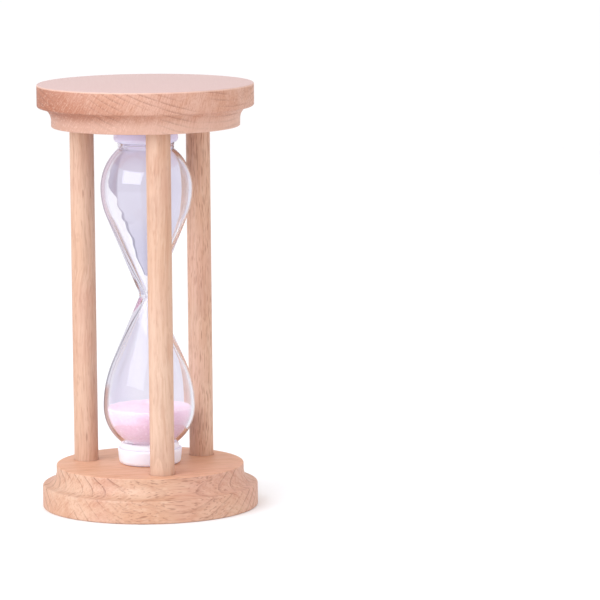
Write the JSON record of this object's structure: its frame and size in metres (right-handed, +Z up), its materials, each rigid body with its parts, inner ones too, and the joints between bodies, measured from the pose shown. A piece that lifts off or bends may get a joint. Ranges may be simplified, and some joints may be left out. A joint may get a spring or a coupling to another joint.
{
  "type": "hourglass",
  "caption": "Free-standing sand timer: turned wooden discs joined by round dowels hold an upright clear glass vial with pear-shaped bulbs, partly filled with coloured sand.",
  "frame": {"origin": "centre of the base disc's underside, on the surface the hourglass stands on", "axes": "+Z up along the axis of the vial and of both discs, -Y from the axis through the front post"},
  "size_m": [0.074, 0.074, 0.1456],
  "materials": {
    "disc_wood": "satin",
    "dowel_wood": "satin",
    "seat_silicone": "satin",
    "glue_bead": "satin",
    "stopper_silicone": "matte",
    "vial_glass": "polished",
    "pink_sand": "matte"
  },
  "bodies": {
    "root": {"base_disc": "disc_wood", "top_disc": "disc_wood", "front_post": "dowel_wood", "right_post": "dowel_wood", "left_post": "dowel_wood", "lower_seat": "seat_silicone", "upper_seat": "seat_silicone", "lower_glue": "glue_bead", "upper_glue": "glue_bead", "glass_vial": "vial_glass", "fill_stopper": "stopper_silicone", "sand": "pink_sand"}
  },
  "joints": []
}
